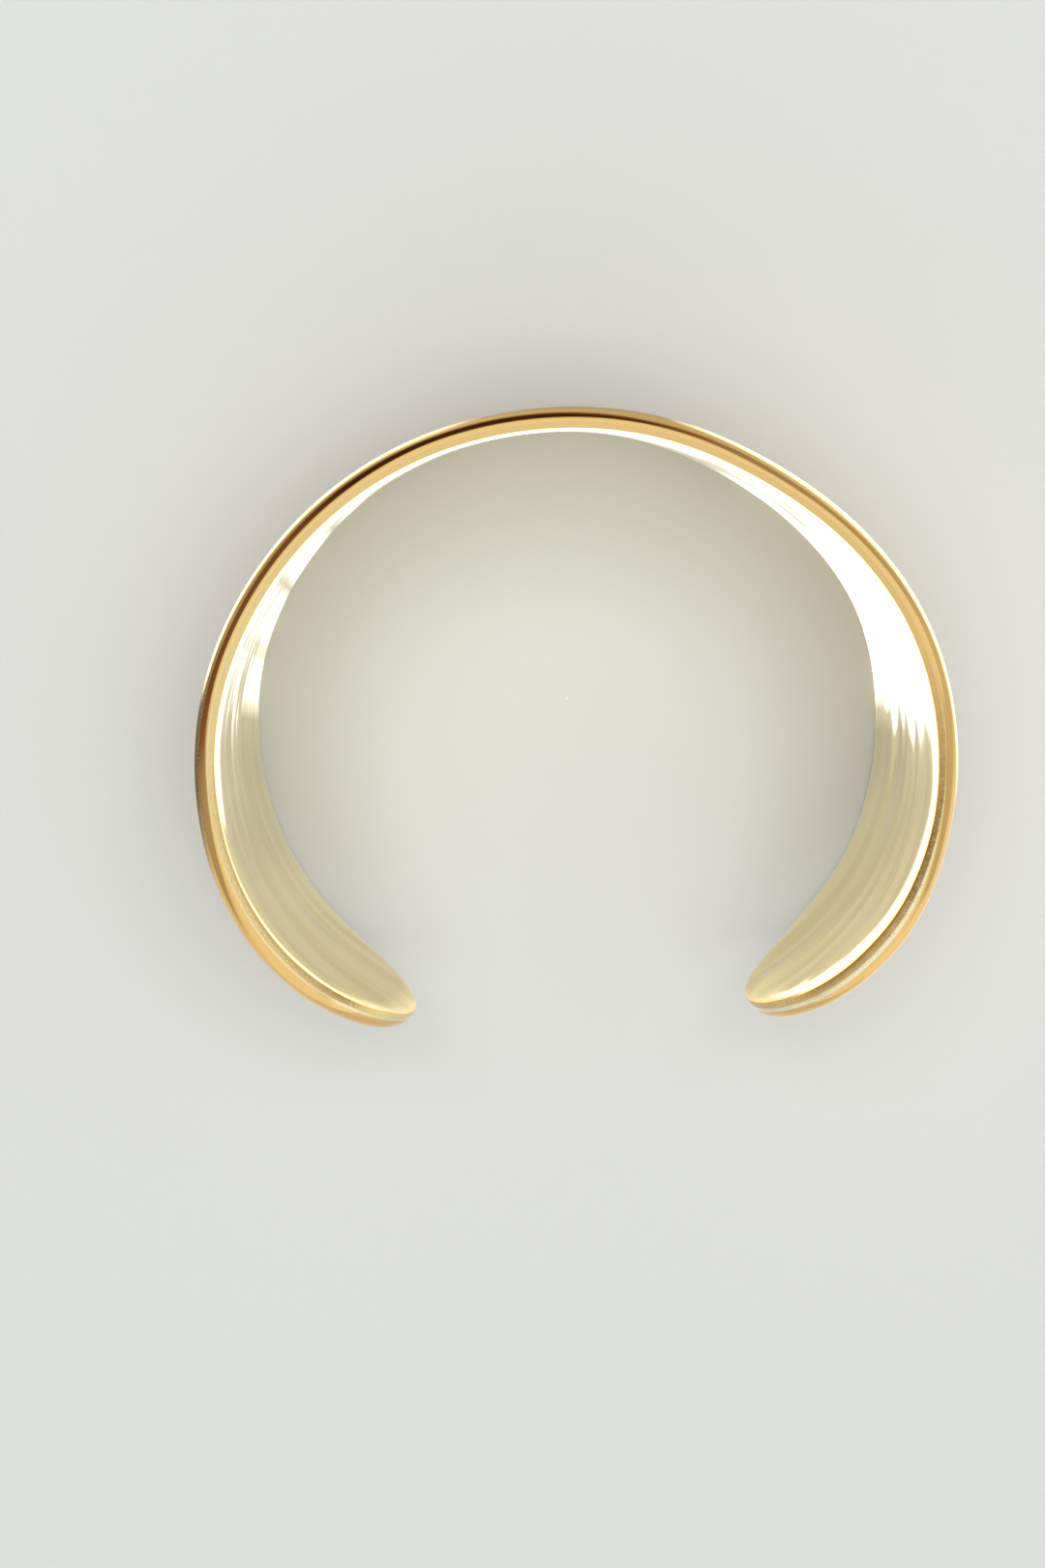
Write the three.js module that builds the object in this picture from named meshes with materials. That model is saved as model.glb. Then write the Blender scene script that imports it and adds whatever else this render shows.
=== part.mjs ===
// A wide, open cuff bangle: one piece of polished, gold-coloured metal, lying on its side.
// Millimetres. The cuff's axis is +Z, the back of the band is towards +Y, and the gap
// between its two terminals opens towards -Y. The origin is the centre of the base.

import * as THREE from 'three';

// Plan of the outer face, seen along the axis: two half ellipses that share one width.
const HALF_WIDTH = 32;
const BACK_HEIGHT = 30.8;
const FRONT_HEIGHT = 29.2;

// The ends of the band, as angles each way from the middle of the back.
const LEFT_END_DEG = 151.5;
const RIGHT_END_DEG = 147;

// Where the hand-bent band leaves the ellipses: flatter stretches are bent inward, and
// fuller ones outward.
const HAND_BENDS = [
  { atDeg: -146, spreadDeg: 17, inward: 0.64 },
  { atDeg: -95, spreadDeg: 14, inward: 0.23 },
  { atDeg: -30, spreadDeg: 21, inward: -0.14 },
  { atDeg: 30, spreadDeg: 14, inward: 0.24 },
  { atDeg: 66, spreadDeg: 18, inward: -0.38 },
  { atDeg: 117, spreadDeg: 12, inward: -0.38 },
  { atDeg: 146, spreadDeg: 10, inward: 0.3 },
];

// The band laid out flat: straight edges, which draw in a little before the full-round ends.
const BAND_WIDTH = 39;
const TAPER_DROP = 4;
const TAPER_LENGTH = 24;

// The rim's section, from the outer face to the inner one. Insets are measured from the rim's
// foremost edge along the band's face.
const ROUND_INSET = 1.3;
const FLARE_INSET = 3.0;

// Its depths from the outer face: mid-band, and at the two ends, towards which the band
// thickens. The growth starts and is full at these lengths from the tip.
const MIDDLE_DEPTHS = { round: 1.14, flatEnd: 1.68, wall: 1.95 };
const LEFT_DEPTHS = { round: 1.41, flatEnd: 2.04, wall: 2.45 };
const RIGHT_DEPTHS = { round: 1.24, flatEnd: 2.12, wall: 2.55 };
const LEFT_GROWTH = { full: 16, start: 37 };
const RIGHT_GROWTH = { full: 12.5, start: 28 };

// How finely the faceted solid follows its curves.
const END_STEPS = 14;
const TAPER_STEPS = 10;
const STRAIGHT_STEPS = 54;
const ROUND_STEPS = 4;
const FLARE_STEPS = 3;

const GOLD = new THREE.MeshStandardMaterial({ color: 0xd9b565, metalness: 1, roughness: 0.16 });

const radians = THREE.MathUtils.degToRad;

// The outer face's plan, from the left end, round the back, to the right end.
class PlanCurve extends THREE.Curve {
  getPoint(t, target = new THREE.Vector3()) {
    const degrees = THREE.MathUtils.lerp(-LEFT_END_DEG, RIGHT_END_DEG, t);
    const angle = radians(degrees);
    const height = Math.cos(angle) >= 0 ? BACK_HEIGHT : FRONT_HEIGHT;
    const outward = new THREE.Vector3(Math.sin(angle) / HALF_WIDTH, Math.cos(angle) / height, 0);
    const inward = HAND_BENDS.reduce(
      (sum, bend) => sum + bend.inward * Math.exp(-(((degrees - bend.atDeg) / bend.spreadDeg) ** 2)),
      0,
    );
    return target
      .set(HALF_WIDTH * Math.sin(angle), height * Math.cos(angle), 0)
      .addScaledVector(outward.normalize(), -inward);
  }
}

const plan = new PlanCurve();
plan.arcLengthDivisions = 4000;
const bandLength = plan.getLength();

// One half of the flat band's outline, above its centre line, from the left tip to the right
// tip: places along the band and across it, each with the outline's outward normal.
function halfOutline() {
  const halfWidth = BAND_WIDTH / 2;
  const endSlope = Math.atan((2 * TAPER_DROP) / TAPER_LENGTH);
  const endRadius = (halfWidth - TAPER_DROP) / Math.cos(endSlope);
  const taperEnd = endRadius * (1 - Math.sin(endSlope));
  const taperStart = taperEnd + TAPER_LENGTH;

  const leftEnd = [];
  for (let i = 0; i < END_STEPS; i += 1) {
    const turn = (i / END_STEPS) * (Math.PI / 2 - endSlope);
    const normal = new THREE.Vector2(-Math.cos(turn), Math.sin(turn));
    leftEnd.push({ along: endRadius * (1 + normal.x), across: endRadius * normal.y, normal });
  }
  for (let i = 0; i < TAPER_STEPS; i += 1) {
    const left = 1 - i / TAPER_STEPS;
    const slope = (left * 2 * TAPER_DROP) / TAPER_LENGTH;
    leftEnd.push({
      along: taperStart - left * TAPER_LENGTH,
      across: halfWidth - TAPER_DROP * left ** 2,
      normal: new THREE.Vector2(-slope, 1).normalize(),
    });
  }

  const straight = [];
  for (let i = 0; i <= STRAIGHT_STEPS; i += 1) {
    const along = THREE.MathUtils.lerp(taperStart, bandLength - taperStart, i / STRAIGHT_STEPS);
    straight.push({ along, across: halfWidth, normal: new THREE.Vector2(0, 1) });
  }

  const rightEnd = leftEnd.toReversed().map(({ along, across, normal }) => ({
    along: bandLength - along,
    across,
    normal: new THREE.Vector2(-normal.x, normal.y),
  }));
  return [...leftEnd, ...straight, ...rightEnd];
}

// The section's depths at a place along the band.
function depthsAt(along) {
  const left = 1 - THREE.MathUtils.smoothstep(along, LEFT_GROWTH.full, LEFT_GROWTH.start);
  const fromRight = bandLength - along;
  const right = 1 - THREE.MathUtils.smoothstep(fromRight, RIGHT_GROWTH.full, RIGHT_GROWTH.start);
  const blended = (name) => MIDDLE_DEPTHS[name]
    + left * (LEFT_DEPTHS[name] - MIDDLE_DEPTHS[name])
    + right * (RIGHT_DEPTHS[name] - MIDDLE_DEPTHS[name]);
  return {
    round: blended('round'),
    flatEnd: blended('flatEnd'),
    wall: blended('wall'),
  };
}

// The rim's section as rows: the outer rounding, the flat edge that the cuff lies on, and the
// soft flare into the inner face. Each row has an inset, and a depth that follows
// from the section's depths.
function rimRows() {
  const rows = [];
  for (let i = 0; i <= ROUND_STEPS; i += 1) {
    const turn = (i / ROUND_STEPS) * (Math.PI / 2);
    rows.push({
      inset: ROUND_INSET * (1 - Math.sin(turn)),
      depth: ({ round }) => round * (1 - Math.cos(turn)),
    });
  }
  for (let i = 0; i <= FLARE_STEPS; i += 1) {
    const turn = (i / FLARE_STEPS) * (Math.PI / 2);
    rows.push({
      inset: FLARE_INSET * (1 - Math.cos(turn)),
      depth: ({ flatEnd, wall }) => THREE.MathUtils.lerp(flatEnd, wall, Math.sin(turn)),
    });
  }
  return rows;
}

// A place on the flat band, bent round the plan at a depth below the outer face.
function bend(along, across, depth) {
  const u = THREE.MathUtils.clamp(along / bandLength, 0, 1);
  const tangent = plan.getTangentAt(u);
  const outward = new THREE.Vector3(-tangent.y, tangent.x, 0);
  const point = plan.getPointAt(u).addScaledVector(outward, -depth);
  point.z = BAND_WIDTH / 2 + across;
  return point;
}

// The closed solid: one ring of vertices for each rim row, all round the band, joined by
// strips, with the outer and inner faces filled straight across between the two edges.
function bandGeometry() {
  const half = halfOutline();
  const last = half.length - 1;
  const ringSize = 2 * last;
  const rows = rimRows();
  const positions = [];
  for (const { inset, depth } of rows) {
    for (let i = 0; i < ringSize; i += 1) {
      const side = i <= last ? 1 : -1;
      const { along, across, normal } = half[i <= last ? i : ringSize - i];
      const place = along - inset * normal.x;
      const point = bend(place, side * (across - inset * normal.y), depth(depthsAt(place)));
      positions.push(point.x, point.y, point.z);
    }
  }

  const triangles = [];
  for (let row = 0; row < rows.length - 1; row += 1) {
    for (let i = 0; i < ringSize; i += 1) {
      const next = (i + 1) % ringSize;
      const [a, b] = [row * ringSize + i, row * ringSize + next];
      const [c, d] = [a + ringSize, b + ringSize];
      triangles.push(a, c, b, b, c, d);
    }
  }
  const innerRing = (rows.length - 1) * ringSize;
  for (let i = 0; i < last; i += 1) {
    const [topA, topB] = [i, i + 1];
    const [lowA, lowB] = [(ringSize - i) % ringSize, ringSize - i - 1];
    if (i > 0) {
      triangles.push(topA, topB, lowA);
      triangles.push(innerRing + topA, innerRing + lowA, innerRing + topB);
    }
    if (i < last - 1) {
      triangles.push(topB, lowB, lowA);
      triangles.push(innerRing + topB, innerRing + lowA, innerRing + lowB);
    }
  }

  const geometry = new THREE.BufferGeometry();
  geometry.setAttribute('position', new THREE.Float32BufferAttribute(positions, 3));
  geometry.setIndex(triangles);
  geometry.computeVertexNormals();
  return geometry;
}

// The band, moved so that the origin is at the centre of the base of its box.
function cuffBand() {
  const geometry = bandGeometry();
  geometry.computeBoundingBox();
  const centre = geometry.boundingBox.getCenter(new THREE.Vector3());
  geometry.translate(-centre.x, -centre.y, 0);
  const mesh = new THREE.Mesh(geometry, GOLD);
  mesh.name = 'cuff_band';
  return mesh;
}

const cuff = new THREE.Group();
cuff.add(cuffBand());

export default cuff;
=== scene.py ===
"""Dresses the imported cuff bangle: a fine mesh of the band, gold plate, a floor and soft light.

Lengths are in metres, in the frame's own axes: +Z is the cuff's axis, +Y its back, -Y its gap.
"""
import math
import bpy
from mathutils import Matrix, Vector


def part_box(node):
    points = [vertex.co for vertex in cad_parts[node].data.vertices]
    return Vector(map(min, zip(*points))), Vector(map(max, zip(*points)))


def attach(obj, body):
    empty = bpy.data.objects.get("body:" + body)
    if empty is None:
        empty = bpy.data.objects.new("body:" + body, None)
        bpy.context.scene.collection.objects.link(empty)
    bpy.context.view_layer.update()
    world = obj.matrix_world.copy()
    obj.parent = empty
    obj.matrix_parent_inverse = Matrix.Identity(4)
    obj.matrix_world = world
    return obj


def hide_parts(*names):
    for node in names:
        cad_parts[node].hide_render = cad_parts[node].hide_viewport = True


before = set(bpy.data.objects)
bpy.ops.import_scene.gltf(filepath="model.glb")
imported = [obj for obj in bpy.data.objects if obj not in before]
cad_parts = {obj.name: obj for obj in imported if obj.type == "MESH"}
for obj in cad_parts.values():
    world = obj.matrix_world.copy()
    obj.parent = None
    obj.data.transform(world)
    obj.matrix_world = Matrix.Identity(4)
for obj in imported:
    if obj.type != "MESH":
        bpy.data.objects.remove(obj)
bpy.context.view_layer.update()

from types import SimpleNamespace

import bpy
import numpy as np
from mathutils import Matrix, Vector

MM = 0.001
BAND_LOW, BAND_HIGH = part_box("cuff_band")
BAND_CENTRE = (BAND_LOW + BAND_HIGH) / 2
BAND_WIDTH = BAND_HIGH[2] - BAND_LOW[2]

# The band's plan, outline and wall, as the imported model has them.
HALF_WIDTH = 32 * MM
BACK_HEIGHT = 30.8 * MM
FRONT_HEIGHT = 29.2 * MM
LEFT_END_DEG = 151.5
RIGHT_END_DEG = 147
HAND_BENDS = (  # at degrees, spread degrees, inward
    (-146, 17, 0.64 * MM),
    (-95, 14, 0.23 * MM),
    (-30, 21, -0.14 * MM),
    (30, 14, 0.24 * MM),
    (66, 18, -0.38 * MM),
    (117, 12, -0.38 * MM),
    (146, 10, 0.30 * MM),
)
TAPER_DROP = 4 * MM
TAPER_LENGTH = 24 * MM

# The rim's section. Insets are measured from its foremost edge.
ROUND_INSET = 1.3 * MM
FLARE_INSET = 3.0 * MM

# The mesh's rows across the flat edge, as shares of it. Its finish sets in by the first one, and
# the inner face's finish over a share of the flare.
FLAT_ROWS = (0.08, 0.5)
INNER_ONSET = 0.12

# Depths from the outer face, where the rounding, the flat edge and the wall end: mid-band, and
# at the left and right ends, towards which the band thickens.
MIDDLE_DEPTHS = np.array((1.14, 1.68, 1.95)) * MM
LEFT_DEPTHS = np.array((1.41, 2.04, 2.45)) * MM
RIGHT_DEPTHS = np.array((1.24, 2.12, 2.55)) * MM
LEFT_GROWTH = (16 * MM, 37 * MM)  # full, and none, this far along the band from that tip
RIGHT_GROWTH = (12.5 * MM, 28 * MM)
WALL = MIDDLE_DEPTHS[2]

# How finely the mesh follows its curves, and the angle from which its edges look sharp.
PLAN_SAMPLES = 6001
END_STEPS = 70
TAPER_STEPS = 70
STRAIGHT_STEPS = 330
ROUND_STEPS = 16
FLARE_STEPS = 12
INNER_STEPS = 52
OUTER_STEPS = 10
SHARP_ANGLE = math.radians(35)


def smooth(low, high, value):
    """0 below low, 1 above high, and an even rise between."""
    t = np.clip((value - low) / (high - low), 0, 1)
    return t * t * (3 - 2 * t)


# ---------------------------------------------------------------- the band's shape

class Plan:
    """The outer face seen along the axis, measured by length from the left end."""

    def __init__(self):
        degrees = np.linspace(-LEFT_END_DEG, RIGHT_END_DEG, PLAN_SAMPLES)
        angle = np.radians(degrees)
        height = np.where(np.cos(angle) >= 0, BACK_HEIGHT, FRONT_HEIGHT)
        outward = np.stack((np.sin(angle) / HALF_WIDTH, np.cos(angle) / height), axis=1)
        outward /= np.linalg.norm(outward, axis=1, keepdims=True)
        inward = sum(
            depth * np.exp(-(((degrees - at) / spread) ** 2)) for at, spread, depth in HAND_BENDS
        )
        ellipse = np.stack((HALF_WIDTH * np.sin(angle), height * np.cos(angle)), axis=1)
        self.points = ellipse - outward * inward[:, None]
        steps = np.linalg.norm(np.diff(self.points, axis=0), axis=1)
        self.lengths = np.concatenate(([0], np.cumsum(steps)))
        tangents = np.gradient(self.points, self.lengths, axis=0)
        tangents /= np.linalg.norm(tangents, axis=1, keepdims=True)
        self.normals = np.stack((-tangents[:, 1], tangents[:, 0]), axis=1)
        self.length = self.lengths[-1]

    def _read(self, table, along):
        return np.stack([np.interp(along, self.lengths, column) for column in table.T], axis=-1)

    def bend(self, along, across, depth):
        """Places on the flat band, bent round the plan at a depth below the outer face."""
        place = self._read(self.points, along) - self._read(self.normals, along) * depth[..., None]
        return np.concatenate((place, (across + BAND_WIDTH / 2)[..., None]), axis=-1)


def half_outline(plan):
    """The flat band's outline above its centre line, from tip to tip, as four rows: places along
    and across the band, and the outward normal along and across it.
    """
    half_width = BAND_WIDTH / 2
    end_slope = math.atan(2 * TAPER_DROP / TAPER_LENGTH)
    end_radius = (half_width - TAPER_DROP) / math.cos(end_slope)
    taper_start = end_radius * (1 - math.sin(end_slope)) + TAPER_LENGTH

    turn = np.arange(END_STEPS) / END_STEPS * (math.pi / 2 - end_slope)
    cos, sin = np.cos(turn), np.sin(turn)
    end = np.stack((end_radius * (1 - cos), end_radius * sin, -cos, sin))

    left = 1 - np.arange(TAPER_STEPS) / TAPER_STEPS
    slope = np.arctan(left * 2 * TAPER_DROP / TAPER_LENGTH)
    along = taper_start - left * TAPER_LENGTH
    taper = np.stack((along, half_width - TAPER_DROP * left**2, -np.sin(slope), np.cos(slope)))

    along = np.linspace(taper_start, plan.length - taper_start, STRAIGHT_STEPS + 1)
    level, upright = np.zeros_like(along), np.ones_like(along)
    straight = np.stack((along, half_width * upright, level, upright))

    ends = np.concatenate((end, taper), axis=1)
    mirrored = ends[:, ::-1] * np.array([-1, 1, -1, 1])[:, None]
    mirrored[0] += plan.length
    return np.concatenate((ends, straight, mirrored), axis=1)


def depths_at(along, length):
    """The section's three depths at places along the band, on the last axis."""
    left = 1 - smooth(*LEFT_GROWTH, along)[..., None]
    right = 1 - smooth(*RIGHT_GROWTH, length - along)[..., None]
    growth = left * (LEFT_DEPTHS - MIDDLE_DEPTHS) + right * (RIGHT_DEPTHS - MIDDLE_DEPTHS)
    return MIDDLE_DEPTHS + growth


def rim_rows():
    """The rim's section, from the outer face to the inner one: the rounding, the flat edge, and the
    soft flare. Each row has an inset, and the shares that the three depths have in its own depth.
    """
    turn = np.arange(ROUND_STEPS + 1) / ROUND_STEPS * (math.pi / 2)
    rows = [(ROUND_INSET * (1 - math.sin(t)), 1 - math.cos(t), 0, 0) for t in turn]
    rows += [(0, 1 - share, share, 0) for share in FLAT_ROWS]
    turn = np.arange(FLARE_STEPS + 1) / FLARE_STEPS * (math.pi / 2)
    rows += [(FLARE_INSET * (1 - math.cos(t)), 0, 1 - math.sin(t), math.sin(t)) for t in turn]
    rows = np.array(rows)
    return rows[:, 0], rows[:, 1:]


# Soft ripples round the inner face, where the band was drawn: wavelength across, height, drift
# along, and the length over which each swells and fades.
RIPPLES = (
    (14.0 * MM, 0.045 * MM, 2.3, 31 * MM),
    (8.7 * MM, 0.038 * MM, 4.1, 23 * MM),
    (5.3 * MM, 0.030 * MM, -6.0, 17 * MM),
    (3.1 * MM, 0.015 * MM, 7.5, 11 * MM),
    (1.9 * MM, 0.006 * MM, -5.0, 8 * MM),
)
CALM_RIM = 14 * MM  # they die away over this width beside each rim
WANDER = 0.9  # how far each sways up and down along the band, as a phase
FADE = 0.4  # the share of each that swells and fades
WANDER_STEP, FADE_STEP, HEIGHT_STEP = 1.7, 2.6, 0.8  # phases, from each ripple to the next


def inner_relief(along, across, length):
    """How much the inner face's ripples add to its depth at places on the flat band."""
    calm = smooth(0, CALM_RIM, BAND_WIDTH / 2 - np.abs(across))
    total = np.zeros_like(along)
    for index, (wavelength, height, drift, swell) in enumerate(RIPPLES):
        wander = WANDER * np.sin(drift * along / length * math.pi + WANDER_STEP * index)
        fade = 1 - FADE + FADE * np.sin(2 * math.pi * along / swell + FADE_STEP * index)
        phase = 2 * math.pi * across / wavelength + wander + HEIGHT_STEP * index
        total += height * fade * np.sin(phase)
    return calm * total


def band_grids(plan):
    """The rim's rings: each vertex's place along and across the flat band, and its depth."""
    along, across, normal_along, normal_across = half_outline(plan)
    inset, shares = rim_rows()
    ring_along = along - inset[:, None] * normal_along
    ring_across = across - inset[:, None] * normal_across
    lower_half = slice(-2, 0, -1)
    ring_along = np.concatenate((ring_along, ring_along[:, lower_half]), axis=1)
    ring_across = np.concatenate((ring_across, -ring_across[:, lower_half]), axis=1)
    ring_depth = (depths_at(ring_along, plan.length) * shares[:, None, :]).sum(axis=2)
    flare = (smooth(0, FLARE_INSET, inset) * shares[:, 2])[:, None]
    ring_depth += flare * inner_relief(ring_along, ring_across, plan.length)
    return ring_along, ring_across, ring_depth


def fill_face(ring, along, across, steps, first):
    """Fills a face straight across, between the upper and lower half of its ring of vertices.
    Gives the new vertices' places on the flat band, and the face's quads and end triangles.
    """
    half = ring.size // 2 + 1
    top = ring[:half]
    bottom = np.roll(ring[::-1], 1)[:half]
    share = np.arange(1, steps)[:, None] / steps
    new_along = np.repeat(along[None, 1:half - 1], steps - 1, axis=0)
    new_across = across[None, 1:half - 1] * (1 - 2 * share)
    new = first + np.arange(new_along.size).reshape(new_along.shape)
    columns = np.concatenate((top[None, 1:-1], new, bottom[None, 1:-1]))
    a, b = columns[:-1, :-1], columns[:-1, 1:]
    c, d = columns[1:, :-1], columns[1:, 1:]
    quads = np.stack((a, b, d, c), axis=-1).reshape(-1, 4)
    left = np.stack((np.full(steps, top[0]), columns[:-1, 0], columns[1:, 0]), axis=-1)
    right = np.stack((np.full(steps, top[-1]), columns[1:, -1], columns[:-1, -1]), axis=-1)
    return new_along, new_across, quads, np.concatenate((left, right))


def finish_marks(ring_size, outer_count, inner_count):
    """Where the finish changes. Each vertex has its depth as a share of the wall, whether it is on
    the flat edge, and how far it has the inner face's finish.
    """
    inset, shares = rim_rows()
    rim_and_inner = {
        "rim_place": (shares @ MIDDLE_DEPTHS / WALL, 1.0),
        "flat_edge": ((shares[:, 1] > 0) & (shares[:, 2] == 0), 0.0),
        "inner_face": (smooth(0, INNER_ONSET * FLARE_INSET, inset) * (shares[:, 2] > 0), 1.0),
    }
    outer = np.zeros(outer_count)
    return {
        name: np.concatenate((np.repeat(rim, ring_size), outer, np.full(inner_count, inner)))
        for name, (rim, inner) in rim_and_inner.items()
    }


def ring_strips(index):
    """The quads between rings of vertices, each of which closes on itself."""
    after = np.roll(index, -1, axis=1)
    return np.stack((index[:-1], index[1:], after[1:], after[:-1]), axis=-1).reshape(-1, 4)


def joined(*grids):
    """The values of several grids, one after another."""
    return np.concatenate([grid.ravel() for grid in grids])


def band_mesh():
    """The closed fine mesh of the band, with its places on the flat band and its finish marks."""
    plan = Plan()
    ring_along, ring_across, ring_depth = band_grids(plan)
    index = np.arange(ring_along.size).reshape(ring_along.shape)
    outer_along, outer_across, outer_quads, outer_ends = fill_face(
        index[0], ring_along[0], ring_across[0], OUTER_STEPS, index.size
    )
    inner_along, inner_across, inner_quads, inner_ends = fill_face(
        index[-1], ring_along[-1], ring_across[-1], INNER_STEPS, index.size + outer_along.size
    )
    inner_wall = depths_at(inner_along, plan.length)[..., 2]
    inner_depth = inner_wall + inner_relief(inner_along, inner_across, plan.length)

    along = joined(ring_along, outer_along, inner_along)
    across = joined(ring_across, outer_across, inner_across)
    depth = joined(ring_depth, np.zeros_like(outer_along), inner_depth)
    quads = np.concatenate((ring_strips(index), outer_quads, inner_quads[:, ::-1]))
    triangles = np.concatenate((outer_ends, inner_ends[:, ::-1]))
    mesh = smooth_mesh(in_frame(plan.bend(along, across, depth)), quads, triangles)
    add_flat_places(mesh, along, across)
    marks = finish_marks(ring_along.shape[1], outer_along.size, inner_along.size)
    for name, values in marks.items():
        mesh.attributes.new(name, "FLOAT", "POINT").data.foreach_set("value", values)
    return mesh


def in_frame(places):
    """Moves the band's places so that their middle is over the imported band's."""
    middle = (places.min(axis=0) + places.max(axis=0)) / 2
    places[:, :2] -= middle[:2] - np.array(BAND_CENTRE[:2])
    return places


def smooth_mesh(places, quads, triangles):
    """A mesh that is shaded smooth but for its sharp edges."""
    mesh = bpy.data.meshes.new("cuff_band_fine")
    mesh.from_pydata(places.tolist(), [], quads.tolist() + triangles.tolist())
    mesh.validate()
    mesh.polygons.foreach_set("use_smooth", [True] * len(mesh.polygons))
    mesh.set_sharp_from_angle(angle=SHARP_ANGLE)
    return mesh


def add_flat_places(mesh, along, across):
    """Gives the mesh a UV map with each vertex's place along and across the flat band."""
    corners = np.empty(len(mesh.loops), dtype=np.int32)
    mesh.loops.foreach_get("vertex_index", corners)
    uv = np.stack((along[corners], across[corners]), axis=1)
    mesh.uv_layers.new(name="flat_band").data.foreach_set("uv", uv.ravel())


# ---------------------------------------------------------------- materials

class Nodes:
    """A short way to write a node tree: add makes a node, sets its inputs and returns it."""

    def __init__(self, tree):
        self.tree = tree
        tree.nodes.clear()

    def add(self, kind, inputs=(), **settings):
        node = self.tree.nodes.new(kind)
        for name, value in settings.items():
            setattr(node, name, value)
        for socket, value in dict(inputs).items():
            if isinstance(value, bpy.types.NodeSocket):
                self.tree.links.new(value, node.inputs[socket])
            else:
                node.inputs[socket].default_value = value
        return node

    def math(self, operation, first, second=0.5, third=0.5, clamp=False):
        inputs = {0: first, 1: second, 2: third}
        return self.add("ShaderNodeMath", inputs, operation=operation, use_clamp=clamp).outputs[0]

    def ramp(self, value, low, high, to_low=0.0, to_high=1.0):
        """Goes smoothly from one value to another, while the value read goes from low to high."""
        inputs = {0: value, 1: low, 2: high, 3: to_low, 4: to_high}
        return self.add("ShaderNodeMapRange", inputs, interpolation_type="SMOOTHSTEP").outputs[0]

    def noise(self, vector, scale, detail, roughness):
        inputs = {"Vector": vector, "Scale": scale, "Detail": detail, "Roughness": roughness}
        return self.add("ShaderNodeTexNoise", inputs).outputs["Fac"]

    def drawn_noise(self, vector, scales, detail, roughness):
        """Noise drawn out into lines, by a scale for each axis."""
        mapped = self.add("ShaderNodeMapping", {"Vector": vector, "Scale": scales}).outputs[0]
        return self.noise(mapped, 1.0, detail, roughness)

    def bump(self, height, distance, strength, **more):
        inputs = {"Height": height, "Distance": distance, "Strength": strength, **more}
        return self.add("ShaderNodeBump", inputs).outputs[0]

    def blend(self, share, first, second):
        """Mixes two colours. The numbers are the Mix node's sockets for colours."""
        inputs = {0: share, 6: first, 7: second}
        return self.add("ShaderNodeMix", inputs, data_type="RGBA").outputs[2]

    def parts(self, vector):
        return self.add("ShaderNodeSeparateXYZ", {0: vector}).outputs

    def attribute(self, name):
        return self.add("ShaderNodeAttribute", attribute_name=name).outputs["Fac"]

    def turn(self, x, y):
        """The angle from the back to a direction, as a share of a turn: 0.5 at the back."""
        return self.math("MULTIPLY_ADD", self.math("ARCTAN2", x, y), 0.5 / math.pi, 0.5)

    def table(self, place, rows):
        """Reads a short table of rows with a place and four values, evenly blended between the
        rows. Gives the first three values as a colour, and the fourth by itself.
        """
        node = self.add("ShaderNodeValToRGB", {"Fac": place})
        stops = node.color_ramp.elements
        stops.remove(stops[-1])
        for index, (at, values) in enumerate(rows):
            stop = stops[0] if index == 0 else stops.new(at)
            stop.position = at
            stop.color = values
        return node.outputs["Color"], node.outputs["Alpha"]


def new_material(name):
    """An empty material, and its node tree to write."""
    material = bpy.data.materials.new(name)
    material.use_nodes = True
    return material, Nodes(material.node_tree)


def turn_share(degrees):
    """An angle from the back as a share of a turn: 0.5 at the back."""
    return 0.5 + degrees / 360


def by_turn(rows):
    """A table's rows, with their angles in degrees turned into shares of a turn."""
    return [(turn_share(degrees), values) for degrees, *values in rows]


# The plate's colours: outside; inside, painted paler, a painted reflection; the inside's
# painted shade streaks; the flat edge's painted highlight; brown, for the flat edge's painted
# shade and the rounding's scuffs; the crease's painted highlight and its whiter stretches;
# painted glints; and dark specks.
GOLD_COLOUR = (0.93, 0.62, 0.23, 1)
INNER_COLOUR = (0.91, 0.78, 0.42, 1)
SHADE_STREAK_COLOUR = (0.76, 0.63, 0.33, 1)
HIGHLIGHT_CREAM_COLOUR = (1.0, 0.82, 0.37, 1)
BROWN_COLOUR = (0.34, 0.21, 0.065, 1)
CREASE_HIGHLIGHT_COLOUR = (1.0, 0.83, 0.44, 1)
CREASE_WHITER_HIGHLIGHT_COLOUR = (1.0, 0.94, 0.67, 1)
PAINTED_GLINT_COLOUR = (1.0, 0.95, 0.66, 1)
SPECK_COLOUR = (0.16, 0.09, 0.03, 1)
WHITE = (1, 1, 1, 1)

# The flat edge's painted light by angle from the back: how far it is painted pale, a painted
# highlight; how far it is painted brown, painted shade; how many painted glints it has; and how
# bright the crease's painted highlight beside it is.
EDGE_PAINTED_LIGHT = (
    (-180, 0.50, 0.05, 0.40, 0.85),
    (-146, 0.90, 0.00, 0.40, 0.90),
    (-143, 0.60, 0.15, 0.50, 0.90),
    (-139, 0.25, 0.45, 0.60, 0.88),
    (-134, 0.40, 0.24, 0.90, 0.84),
    (-126, 0.50, 0.13, 1.00, 0.78),
    (-105, 0.50, 0.10, 1.00, 0.62),
    (-93, 0.68, 0.03, 0.90, 0.84),
    (-70, 0.60, 0.00, 0.65, 0.62),
    (-50, 0.35, 0.00, 0.35, 0.45),
    (-25, 0.18, 0.00, 0.15, 0.25),
    (25, 0.15, 0.00, 0.10, 0.25),
    (55, 0.12, 0.03, 0.15, 0.35),
    (75, 0.05, 0.04, 0.20, 0.40),
    (90, 0.00, 0.42, 0.30, 0.45),
    (104, 0.00, 0.85, 0.35, 0.75),
    (113, 0.00, 0.80, 0.35, 0.92),
    (121, 0.05, 0.48, 0.35, 1.00),
    (134, 0.10, 0.30, 0.40, 1.00),
    (146, 0.30, 0.20, 0.50, 1.00),
    (180, 0.50, 0.05, 0.40, 0.90),
)
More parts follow.
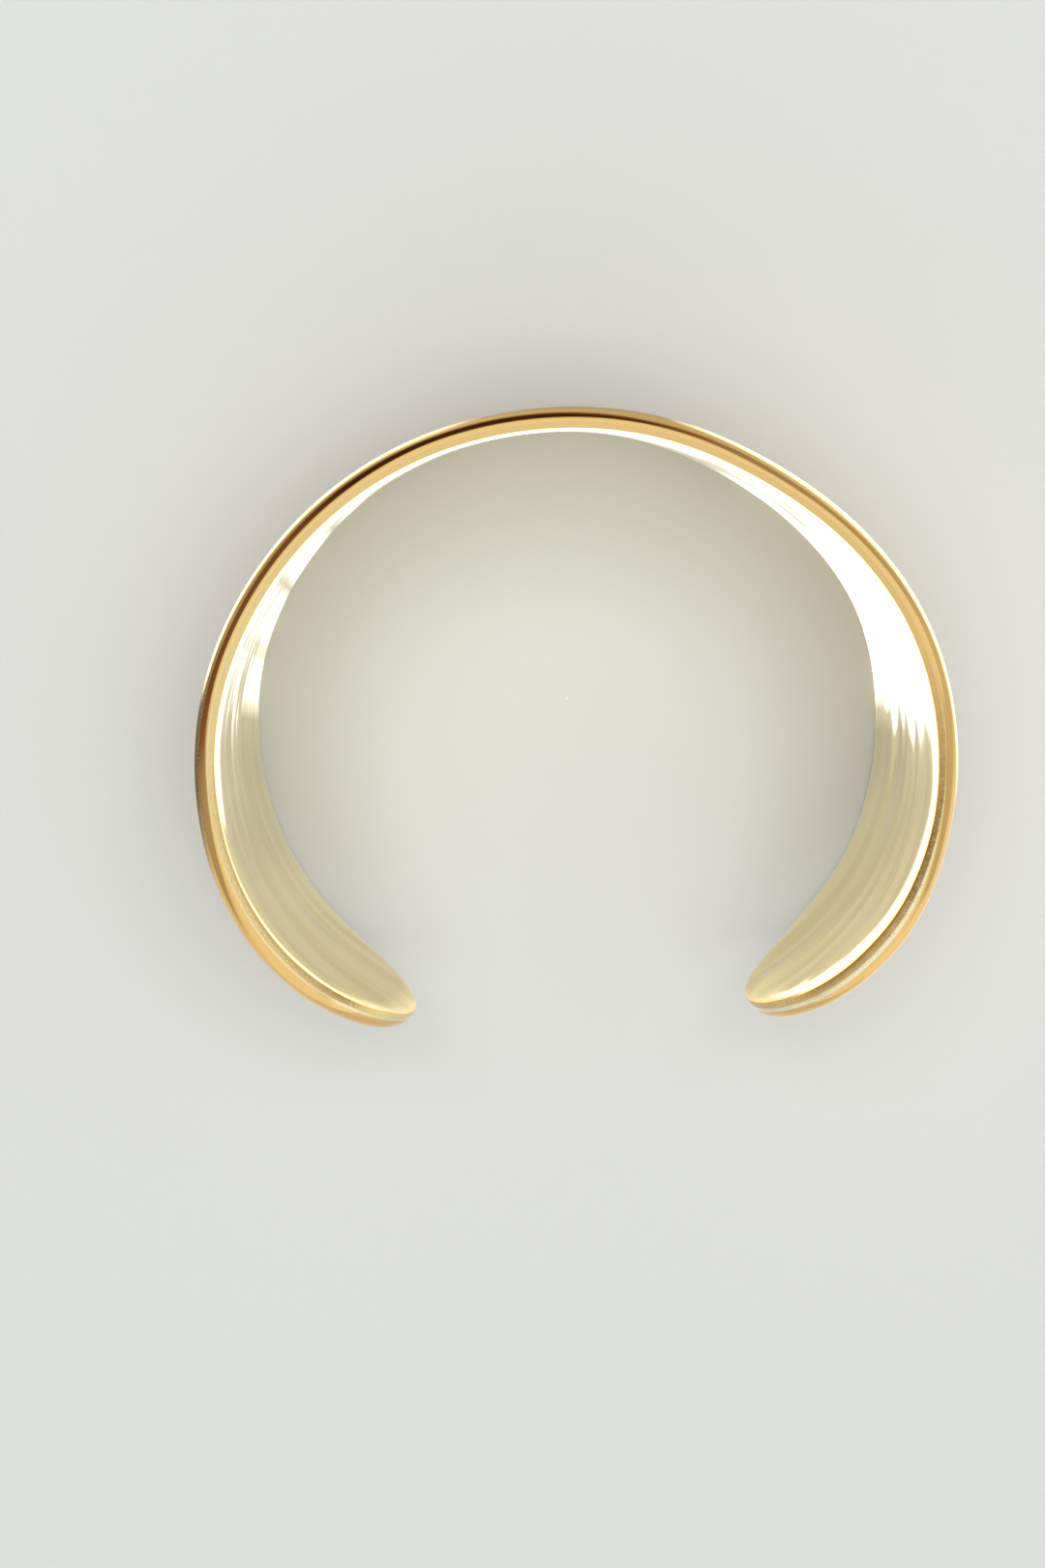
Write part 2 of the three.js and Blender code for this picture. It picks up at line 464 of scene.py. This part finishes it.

# The crease's painted highlight, a bright line beside the flat edge: its place and reach through
# the wall, how much of its reach is full, the widths that a faint one has and a bright one adds,
# the power by which the bright ones stand out in width, and where they change colour, to a whiter
# painted highlight.
CREASE_PLACE = (MIDDLE_DEPTHS[0] + 0.04 * MM) / WALL
CREASE_REACH = 0.045
CREASE_CORE = 0.4
CREASE_FAINT_WIDTH = 0.6
CREASE_BRIGHT_WIDTH = 1.4
CREASE_WIDTH_POWER = 4.0
CREASE_HIGHLIGHT_WHITENS_FROM = 0.75

# The rounding: where it starts and ends through the wall, and its scuffed stretch, with how far
# that is full and reaches each way, in degrees, and how brown its scuffs are.
ROUNDING_START = (0.0, 0.04)
ROUNDING_END = (0.36, 0.20)
SCUFF_DEG = -91
SCUFF_REACH_DEG = (8, 20)
SCUFF_BROWN = 0.6

# The finish's noises: scale per metre, detail and roughness. Those drawn out into lines have one
# scale along the band and one across it.
GRAIN = (8000, 2.0, 0.6)
# The sparkle places the painted glints.
SPARKLE = (13000, 1.0, 0.5)
PATCHES = (1500, 3.0, 0.6)
SMEARS = (90, 3.0, 0.55)
HAIRLINES = ((60, 4200, 1), 3.0, 0.6)
# The inner face's painted shade streaks.
SHADE_STREAKS = ((26, 210, 1), 2.0, 0.5)

# The part of each noise's range over which what it drives comes in, and the least and most that
# it then is, where these aren't 0 and 1.
CREASE_GRAIN = (0.30, 0.52, 0.88, 1.15)
# The patches into which the flat edge's painted brown shade breaks.
BROWN_SHADE_PATCHES = (0.25, 0.60, 0.7, 1.2)
SMEAR_ROUGHNESS = (0.35, 0.70, 0.035, 0.08)
SHADE_STREAK_RANGE = (0.35, 0.68)
SCUFF_RANGE = (0.42, 0.56)
PAINTED_GLINT_RANGE = (0.55, 0.66)
SPECK_RANGE = (0.46, 0.36)

# How dense the dark specks are where the flat edge isn't brown, and what full brown adds.
SPECK_LEAST = 0.05
SPECK_WITH_BROWN = 0.7

# What hairlines, the grained flat edge and the inner face add to the plate's roughness, and how
# much of its grain the flat edge loses in the crease.
HAIRLINE_ROUGHNESS = 0.02
GRAINED_ROUGHNESS = 0.26
INNER_ROUGHNESS = 0.025
CREASE_SMOOTHS = 0.65

# Bumps of the hairlines and the grain: height and strength.
HAIRLINE_BUMP = (0.0012 * MM, 0.5)
GRAIN_BUMP = (0.02 * MM, 0.6)


def rim_scuffs_and_painted_light(n, place, marks):
    """Adds the rim's painted light at a place: the flat edge's paleness (a painted highlight),
    brownness (painted shade), painted glints and the crease's painted highlight; and how scuffed
    the rounding is.
    """
    x, y, _ = n.parts(place)
    turn = n.turn(x, y)
    edge_paint, marks.crease_share = n.table(turn, by_turn(EDGE_PAINTED_LIGHT))
    marks.pale, marks.brown, marks.glints = n.parts(edge_paint)
    off = n.math("ABSOLUTE", n.math("SUBTRACT", turn, turn_share(SCUFF_DEG)))
    full, end = (reach / 360 for reach in SCUFF_REACH_DEG)
    start = n.ramp(marks.rim_place, *ROUNDING_START)
    rounding = n.math("MULTIPLY", start, n.ramp(marks.rim_place, *ROUNDING_END))
    marks.scuffed = n.math("MULTIPLY", rounding, n.ramp(off, full, end, 1.0, 0.0))


def painted_crease_line(n, marks):
    """How far each place belongs to the crease's painted highlight: a bright, slightly broken line
    beside the flat edge.
    """
    boldness = n.math("POWER", marks.crease_share, CREASE_WIDTH_POWER)
    width = n.math("MULTIPLY_ADD", boldness, CREASE_BRIGHT_WIDTH, CREASE_FAINT_WIDTH)
    beside = n.math("ABSOLUTE", n.math("SUBTRACT", marks.rim_place, CREASE_PLACE))
    beside = n.math("DIVIDE", beside, width)
    line = n.ramp(beside, CREASE_CORE * CREASE_REACH, CREASE_REACH, 1.0, 0.0)
    line = n.math("MULTIPLY", line, marks.crease_share)
    return n.math("MULTIPLY", line, n.ramp(marks.grain, *CREASE_GRAIN), clamp=True)


def plate_marks(n):
    """What the plate's finish and painted light depend on: the mesh's own marks, the rim's
    scuffs and painted light, and the noises.
    """
    place = n.add("ShaderNodeTexCoord").outputs["Object"]
    flat_band = n.add("ShaderNodeUVMap", uv_map="flat_band").outputs[0]
    marks = SimpleNamespace()
    marks.edge = n.attribute("flat_edge")
    marks.inner = n.attribute("inner_face")
    marks.rim_place = n.attribute("rim_place")
    rim_scuffs_and_painted_light(n, place, marks)
    marks.grain = n.noise(place, *GRAIN)
    marks.sparkle = n.noise(place, *SPARKLE)
    marks.patches = n.noise(place, *PATCHES)
    marks.smears = n.noise(place, *SMEARS)
    marks.hairlines = n.drawn_noise(flat_band, *HAIRLINES)
    # Painted shade streaks along the inner face.
    marks.streaks = n.drawn_noise(flat_band, *SHADE_STREAKS)
    marks.crease = painted_crease_line(n, marks)
    smoothed = n.math("MULTIPLY", marks.crease, CREASE_SMOOTHS)
    marks.grained = n.math("SUBTRACT", marks.edge, smoothed, clamp=True)
    return marks


def plate_colour(n, marks):
    """Yellow gold, painted paler inside as a painted reflection and streaked there with painted
    shade, with the rim's painted highlights and shade, its scuffs, painted glints and specks laid
    over it layer by layer.
    """
    # The inner face's painted shade streaks, standing in for the shading its ripples' reflections
    # make.
    streaked = n.blend(n.ramp(marks.streaks, *SHADE_STREAK_RANGE), INNER_COLOUR, SHADE_STREAK_COLOUR)
    # The inner face, painted paler than outside: a painted reflection of the same gold at a grazing
    # angle.
    colour = n.blend(marks.inner, GOLD_COLOUR, streaked)
    # The flat edge painted pale: a painted highlight, strongest towards the left end.
    colour = n.blend(n.math("MULTIPLY", marks.pale, marks.edge), colour, HIGHLIGHT_CREAM_COLOUR)

    # The flat edge painted brown in patches: painted shade, strongest towards the right end.
    brown_shade = n.math("MULTIPLY", marks.brown, marks.edge)
    brown_shade = n.math("MULTIPLY", brown_shade, n.ramp(marks.patches, *BROWN_SHADE_PATCHES), clamp=True)
    colour = n.blend(brown_shade, colour, BROWN_COLOUR)
    scuffs = n.ramp(marks.grain, *SCUFF_RANGE, SCUFF_BROWN, 0.0)
    colour = n.blend(n.math("MULTIPLY", marks.scuffed, scuffs), colour, BROWN_COLOUR)

    # The crease's painted highlight, a bright line of base colour, whiter where it is brightest.
    bright = n.ramp(marks.crease_share, CREASE_HIGHLIGHT_WHITENS_FROM, 1.0)
    colour = n.blend(marks.crease, colour, n.blend(bright, CREASE_HIGHLIGHT_COLOUR, CREASE_WHITER_HIGHLIGHT_COLOUR))
    # Painted glints: bright specks of base colour on the flat edge and the scuffed rounding, a
    # painted highlight.
    painted_glinting = n.math("MULTIPLY", n.math("MAXIMUM", marks.edge, marks.scuffed), marks.glints)
    lit = n.math("MULTIPLY", n.ramp(marks.sparkle, *PAINTED_GLINT_RANGE), painted_glinting)
    colour = n.blend(lit, colour, PAINTED_GLINT_COLOUR)
    density = n.math("MULTIPLY_ADD", marks.brown, SPECK_WITH_BROWN, SPECK_LEAST)
    specks = n.math("MULTIPLY", n.ramp(marks.grain, *SPECK_RANGE), density)
    return n.blend(n.math("MULTIPLY", specks, marks.edge), colour, SPECK_COLOUR)


def plate_roughness(n, marks):
    """Polished all over, a little smeared, and rougher where the flat edge is grained."""
    lines = n.math("MULTIPLY", marks.hairlines, HAIRLINE_ROUGHNESS)
    polish = n.math("ADD", n.ramp(marks.smears, *SMEAR_ROUGHNESS), lines)
    rough = n.math("ADD", polish, n.math("MULTIPLY", marks.grained, GRAINED_ROUGHNESS))
    return n.math("MULTIPLY_ADD", marks.inner, INNER_ROUGHNESS, rough)


def plate_normal(n, marks):
    """Hairlines all over, and the grain of the flat edge and the scuffed rounding."""
    grained = n.math("MULTIPLY", marks.grain, n.math("MAXIMUM", marks.grained, marks.scuffed))
    lines = n.bump(marks.hairlines, *HAIRLINE_BUMP)
    return n.bump(grained, *GRAIN_BUMP, Normal=lines)


def gold_plate():
    """Polished yellow gold plate, with hairlines along the band and a grained flat edge. Its colour
    also holds painted highlights, painted glints and painted shade.
    """
    material, n = new_material("gold_plate")
    marks = plate_marks(n)
    inputs = {
        "Base Color": plate_colour(n, marks),
        "Roughness": plate_roughness(n, marks),
        "Normal": plate_normal(n, marks),
        "Metallic": 1.0,
    }
    shader = n.add("ShaderNodeBsdfPrincipled", inputs)
    n.add("ShaderNodeOutputMaterial", {"Surface": shader.outputs[0]})
    return material


FLOOR_COLOUR = (0.635, 0.660, 0.650, 1)
FLOOR_ROUGHNESS = 0.8


def pale_floor():
    """A plain, pale, matt table top."""
    material, n = new_material("pale_floor")
    inputs = {"Base Color": FLOOR_COLOUR, "Roughness": FLOOR_ROUGHNESS, "Specular IOR Level": 0.0}
    shader = n.add("ShaderNodeBsdfPrincipled", inputs)
    n.add("ShaderNodeOutputMaterial", {"Surface": shader.outputs[0]})
    return material


# ---------------------------------------------------------------- stage, light, camera

# The floor and the bowl-shaped backdrop, and how finely they are turned.
FLOOR_RADIUS = 0.55
FLOOR_RINGS = 12
PINHOLE = 0.1 * MM  # the radius of the floor's innermost ring
BOWL_RISE = 0.42
BOWL_BEND = 0.30
BOWL_STEPS = 16
SIDES = 96


def turned(name, profile):
    """A surface of revolution round the frame's axis, from a list of radii and heights."""
    angles = np.arange(SIDES) * 2 * math.pi / SIDES
    rings = [(r * np.cos(angles), r * np.sin(angles), np.full(SIDES, h)) for r, h in profile]
    points = np.concatenate([np.stack(ring, axis=1) for ring in rings])
    faces = ring_strips(np.arange(len(points)).reshape(len(profile), SIDES))
    mesh = bpy.data.meshes.new(name)
    mesh.from_pydata(points.tolist(), [], faces.tolist())
    mesh.polygons.foreach_set("use_smooth", [True] * len(mesh.polygons))
    surface = bpy.data.objects.new(name, mesh)
    bpy.context.collection.objects.link(surface)
    return surface


def sweep():
    """The floor, and a backdrop that curves up all round it, so that no view sees past them. The
    backdrop stays out of the polished cuff's reflections, which see the room instead.
    """
    turn = np.linspace(0, math.pi / 2, BOWL_STEPS + 1)
    curve = [(FLOOR_RADIUS + BOWL_BEND * math.sin(t), BOWL_BEND * (1 - math.cos(t))) for t in turn]
    floor = turned("floor", [(r, 0.0) for r in np.linspace(PINHOLE, FLOOR_RADIUS, FLOOR_RINGS)])
    backdrop = turned("backdrop", curve + [(FLOOR_RADIUS + BOWL_BEND, BOWL_RISE)])
    backdrop.visible_glossy = False
    finish = pale_floor()
    for surface in (floor, backdrop):
        surface.data.materials.append(finish)
    return floor, backdrop


FILL_POWER = 6.9
FILL_SIZE = 0.7
FILL_PLACE = Vector((0, 0.12, 1.0))


def fill_light(surfaces):
    """A soft light overhead that reaches these surfaces alone. The cuff still shades them in it."""
    light = bpy.data.lights.new("floor_fill", "AREA")
    light.energy = FILL_POWER
    light.size = FILL_SIZE
    holder = bpy.data.objects.new("floor_fill", light)
    holder.location = FILL_PLACE
    holder.rotation_mode = "QUATERNION"
    holder.rotation_quaternion = (Vector() - FILL_PLACE).to_track_quat("-Z", "Y")
    holder.visible_camera = False
    bpy.context.collection.objects.link(holder)
    reached = bpy.data.collections.new("lit_surfaces")
    for surface in surfaces:
        reached.objects.link(surface)
    holder.light_linking.receiver_collection = reached


# The glowing sheets: their height over the floor, and the angles of their points.
SHEET_HEIGHT = 0.6 * MM
SHEET_DEGREES = np.linspace(-180, 180, 181)
GLOW_WHITENS = (0.8, 1.6)  # the glows between which a sheet goes from its dim colour to white


def glow_sheet(name, rings, middle, dim_colour):
    """A glowing sheet that only reflections see: it shows to no camera and casts neither light nor
    shadow. Its rings have insets from the band's outer face, and glows. The middle can be filled.
    """
    points = np.concatenate([sheet_ring(inset) for inset, _ in rings])
    faces = strip_faces(len(rings), SHEET_DEGREES.size)
    if middle:
        last = (len(rings) - 1) * SHEET_DEGREES.size
        faces.append(list(range(last, last + SHEET_DEGREES.size - 1)))
    mesh = bpy.data.meshes.new(name)
    mesh.from_pydata(points.tolist(), [], faces)
    glow = mesh.attributes.new("glow", "FLOAT", "POINT")
    glow.data.foreach_set("value", np.concatenate([level for _, level in rings]))

    material, n = new_material(name)
    level = n.attribute("glow")
    colour = n.blend(n.ramp(level, *GLOW_WHITENS), dim_colour, WHITE)
    emission = n.add("ShaderNodeEmission", {"Color": colour, "Strength": level})
    n.add("ShaderNodeOutputMaterial", {"Surface": emission.outputs[0]})
    mesh.materials.append(material)
    sheet = bpy.data.objects.new(name, mesh)
    sheet.visible_camera = False
    sheet.visible_diffuse = False
    sheet.visible_shadow = False
    bpy.context.collection.objects.link(sheet)


def sheet_ring(inset):
    """Places on the sheets' level, an inset inward of the band's outer face, for each angle."""
    turn = np.radians(SHEET_DEGREES)
    height = np.where(np.cos(turn) >= 0, BACK_HEIGHT, FRONT_HEIGHT)
    x = BAND_CENTRE[0] + (HALF_WIDTH - inset) * np.sin(turn)
    y = BAND_HIGH[1] - BACK_HEIGHT + (height - inset) * np.cos(turn)
    return np.stack((x, y, np.full_like(x, SHEET_HEIGHT)), axis=1)


def strip_faces(rows, columns):
    """The quads between rows of equally many points."""
    index = np.arange(rows * columns).reshape(rows, columns)
    a, b, c, d = index[:-1, :-1], index[:-1, 1:], index[1:, :-1], index[1:, 1:]
    return np.stack((a, b, d, c), axis=-1).reshape(-1, 4).tolist()


def by_angle(rows):
    """A table's columns, read at each of the sheets' angles."""
    angles, *columns = np.array(rows).T
    return [np.interp(SHEET_DEGREES, angles, column) for column in columns]


# The sheet inside the cuff, by angle from the back: its glow at the band's foot, how far its
# bright part keeps from the band's inner face (the clearance), and its glow just before that part.
INSIDE_SHEET = (
    (-180, 1.25, 20.0 * MM, 1.35),
    (-160, 1.05, 20.0 * MM, 1.20),
    (-150, 0.68, 20.0 * MM, 0.80),
    (-122, 0.66, 15.0 * MM, 0.76),
    (-112, 0.58, 8.5 * MM, 0.66),
    (-103, 0.56, 5.4 * MM, 0.64),
    (-96, 0.54, 4.8 * MM, 0.64),
    (-88, 0.60, 3.1 * MM, 0.66),
    (-83, 1.60, 3.1 * MM, 0.68),
    (-79, 2.20, 2.9 * MM, 0.70),
    (-75, 0.76, 2.7 * MM, 0.70),
    (-71, 2.20, 2.6 * MM, 0.72),
    (-66, 2.20, 2.5 * MM, 0.72),
    (-62, 0.76, 2.3 * MM, 0.72),
    (-57, 2.20, 2.1 * MM, 0.74),
    (-52, 2.00, 1.9 * MM, 0.74),
    (-48, 0.76, 1.6 * MM, 0.76),
    (-44, 1.60, 1.1 * MM, 0.78),
    (-38, 0.76, 1.0 * MM, 0.80),
    (-10, 0.66, 0.7 * MM, 0.80),
    (16, 0.66, 1.0 * MM, 0.80),
    (27, 0.70, 1.8 * MM, 0.80),
    (31, 1.20, 2.0 * MM, 0.80),
    (35, 2.20, 2.2 * MM, 0.80),
    (48, 2.20, 2.3 * MM, 0.85),
    (56, 2.20, 2.0 * MM, 2.20),
    (82, 2.20, 0.6 * MM, 2.00),
    (86, 0.80, 1.0 * MM, 0.80),
    (90, 0.54, 2.7 * MM, 0.66),
    (96, 0.54, 5.6 * MM, 0.68),
    (106, 0.60, 8.1 * MM, 0.68),
    (122, 0.62, 9.6 * MM, 0.72),
    (136, 0.66, 9.6 * MM, 0.76),
    (150, 0.72, 9.4 * MM, 0.90),
    (160, 1.05, 12.0 * MM, 1.20),
    (180, 1.25, 20.0 * MM, 1.35),
)
INSIDE_GLOW = 2.2  # of the bright part
INSIDE_DIM_COLOUR = (1.0, 0.95, 0.76, 1)
INSIDE_FADE = (0.2 * MM, 0.24)  # at least this wide, and by this share of the clearance
FOOT_SHARE = 0.5  # of the clearance, where the foot's glow ends
SKIRT_SHARE = 0.65  # of the clearance, where the skirt's glow starts
INSIDE_RIM = 6 * MM  # past the clearance, where the bright middle's last ring is


def inside_sheet():
    """A sheet inside the cuff, bright in its middle, whose dim skirt reaches the band's foot."""
    foot, clearance, skirt = by_angle(INSIDE_SHEET)
    bright = np.full_like(skirt, INSIDE_GLOW)
    fade = INSIDE_FADE[0] + INSIDE_FADE[1] * clearance
    rings = (
        (np.full_like(foot, WALL), foot),
        (WALL + FOOT_SHARE * clearance, foot),
        (WALL + SKIRT_SHARE * clearance, skirt),
        (WALL + clearance, skirt),
        (WALL + clearance + fade, bright),
        (WALL + clearance + INSIDE_RIM, bright),
    )
    glow_sheet("inside_sheet", rings, True, INSIDE_DIM_COLOUR)


# The sheet round the cuff, by angle from the back: its glow near the cuff, how far out that
# reaches, and its glow beyond.
OUTSIDE_SHEET = (
    (-180, 0.62, 30 * MM, 0.62),
    (-150, 0.75, 30 * MM, 0.75),
    (-118, 0.75, 30 * MM, 0.75),
    (-110, 0.40, 30 * MM, 0.45),
    (-100, 0.16, 30 * MM, 0.20),
    (-84, 0.20, 40 * MM, 0.24),
    (-78, 2.60, 60 * MM, 0.32),
    (-55, 2.60, 70 * MM, 0.40),
    (-36, 2.60, 76 * MM, 0.45),
    (-23, 2.00, 76 * MM, 0.70),
    (-15, 0.60, 60 * MM, 0.66),
    (0, 0.45, 50 * MM, 0.57),
    (16, 0.50, 50 * MM, 0.57),
    (24, 2.00, 70 * MM, 0.60),
    (32, 2.80, 100 * MM, 0.62),
    (45, 2.80, 210 * MM, 0.75),
    (60, 2.80, 160 * MM, 0.68),
    (75, 2.60, 110 * MM, 0.68),
    (92, 2.20, 60 * MM, 0.80),
    (102, 1.05, 30 * MM, 0.95),
    (140, 1.00, 30 * MM, 0.95),
    (155, 0.75, 30 * MM, 0.75),
    (180, 0.62, 30 * MM, 0.62),
)
OUTSIDE_START = 3 * MM  # the sheet's two edges, out from the band's outer face
OUTSIDE_END = 400 * MM
OUTSIDE_FADE = (0.85, 1.15, 1.6)  # shares of the reach over which the near glow becomes the far


def outside_sheet():
    """A sheet round the cuff that lights the outermost lines of its rim."""
    near, reach, far = by_angle(OUTSIDE_SHEET)
    start, middle, end = OUTSIDE_FADE
    rings = (
        (np.full_like(near, -OUTSIDE_START), near),
        (-start * reach, near),
        (-middle * reach, (near + far) / 2),
        (-end * reach, far),
        (np.full_like(far, -OUTSIDE_END), far),
    )
    glow_sheet("outside_sheet", rings, False, WHITE)


# The room's light by direction, by angle from the back: a dark band stands between the pale
# ceiling and the wall below. The columns are the band's lower and upper edge (as sines of
# elevation), how dark it is, and the wall's level.
ROOM = (
    (-180, 0.20, 0.68, 0.10, 0.90),
    (-160, 0.20, 0.68, 0.08, 0.88),
    (-146, 0.20, 0.70, 0.20, 0.82),
    (-138, 0.15, 0.88, 0.56, 0.76),
    (-128, 0.15, 0.92, 0.56, 0.68),
    (-118, 0.15, 0.92, 0.58, 0.64),
    (-110, 0.06, 0.92, 0.60, 0.50),
    (-100, 0.04, 0.90, 0.70, 0.36),
    (-93, 0.05, 0.86, 0.80, 0.32),
    (-85, 0.15, 0.85, 0.87, 0.34),
    (-70, 0.25, 0.88, 0.87, 0.50),
    (-55, 0.22, 0.88, 0.87, 0.42),
    (-40, 0.07, 0.86, 1.00, 0.45),
    (-25, 0.00, 0.80, 1.00, 0.80),
    (-10, 0.10, 0.86, 1.00, 0.66),
    (0, 0.22, 0.87, 1.00, 0.57),
    (15, 0.45, 0.87, 0.97, 0.57),
    (30, 0.40, 0.85, 0.68, 0.65),
    (45, 0.40, 0.88, 0.58, 0.85),
    (60, 0.30, 0.74, 0.50, 0.68),
    (75, 0.10, 0.60, 0.35, 0.68),
    (85, 0.05, 0.60, 0.35, 0.72),
    (97, 0.30, 0.92, 0.37, 0.84),
    (114, 0.30, 0.91, 0.42, 0.90),
    (124, 0.20, 0.91, 0.42, 0.90),
    (131, 0.25, 0.93, 0.42, 0.94),
    (138, 0.45, 0.93, 0.42, 1.00),
    (152, 0.50, 0.80, 0.12, 1.00),
    (162, 0.35, 0.72, 0.06, 0.96),
    (180, 0.20, 0.68, 0.10, 0.90),
)
CEILING_LEVEL = 0.91
CEILING_FADE = (-0.11, 0.09)  # past the band's upper edge, where the ceiling's light comes in
WALL_FADE = (-0.25, 0.30)  # past its lower edge, where the wall's light dies away

# The light's colour by its level, from the dark band's middle to full light.
LIGHT_COLOURS = (
    (0.0, (0.050, 0.024, 0.016, 1)),
    (0.22, (0.27, 0.15, 0.11, 1)),
    (0.5, (0.50, 0.48, 0.45, 1)),
    (1.0, WHITE),
)


def studio_world():
    """A soft room, whose light comes from the ceiling and, below its dark band, from the wall."""
    world = bpy.data.worlds.new("studio")
    world.use_nodes = True
    n = Nodes(world.node_tree)
    x, y, z = n.parts(n.add("ShaderNodeTexCoord").outputs["Generated"])
    band, wall_level = n.table(n.turn(x, y), by_turn(ROOM))
    low, high, darkness = n.parts(band)
    ceiling = n.ramp(n.math("SUBTRACT", z, high), *CEILING_FADE)
    ceiling = n.math("MULTIPLY", ceiling, CEILING_LEVEL)
    wall = n.ramp(n.math("SUBTRACT", z, low), *WALL_FADE, 1.0, 0.0)
    wall = n.math("MULTIPLY", wall, wall_level)
    lit = n.math("MAXIMUM", ceiling, wall)
    level = n.math("MAXIMUM", lit, n.math("SUBTRACT", 1.0, darkness))
    light, _ = n.table(level, LIGHT_COLOURS)
    surface = n.add("ShaderNodeBackground", {"Color": light, "Strength": 1.0}).outputs[0]
    n.add("ShaderNodeOutputWorld", {"Surface": surface})
    bpy.context.scene.world = world


# The camera's place by the band's back and upper rim, how it is tipped from straight down, and
# its lens and sensor in millimetres.
EYE_SIDE = -5.6 * MM
EYE_FROM_BACK = 2.75 * MM
EYE_ABOVE_RIM = 218.4 * MM
PITCH = math.radians(7.402)
YAW = math.radians(0.28)
LENS = 60.76
SENSOR = 36


def camera():
    """Looks down the cuff's axis from just inside its back edge, tipped a little to the gap."""
    forward = Vector((math.sin(YAW), -math.sin(PITCH), -math.cos(PITCH))).normalized()
    right = forward.cross(Vector((0, 1, 0))).normalized()
    up = right.cross(forward)
    place = Vector((EYE_SIDE, BAND_HIGH[1] - EYE_FROM_BACK, BAND_HIGH[2] + EYE_ABOVE_RIM))
    data = bpy.data.cameras.new("camera")
    data.lens = LENS
    data.sensor_width = SENSOR
    data.clip_start = 10 * MM
    data.clip_end = 20
    eye = bpy.data.objects.new("camera", data)
    turn = Matrix((right, up, -forward)).transposed()
    eye.matrix_world = Matrix.Translation(place) @ turn.to_4x4()
    bpy.context.collection.objects.link(eye)
    bpy.context.scene.camera = eye


def main():
    scene = bpy.context.scene
    scene.view_settings.view_transform = "Standard"
    camera()

    band = bpy.data.objects.new("cuff_band_gold", band_mesh())
    bpy.context.collection.objects.link(band)
    band.data.materials.append(gold_plate())
    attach(band, "root")
    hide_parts("cuff_band")

    studio_world()
    fill_light(sweep())
    inside_sheet()
    outside_sheet()


main()
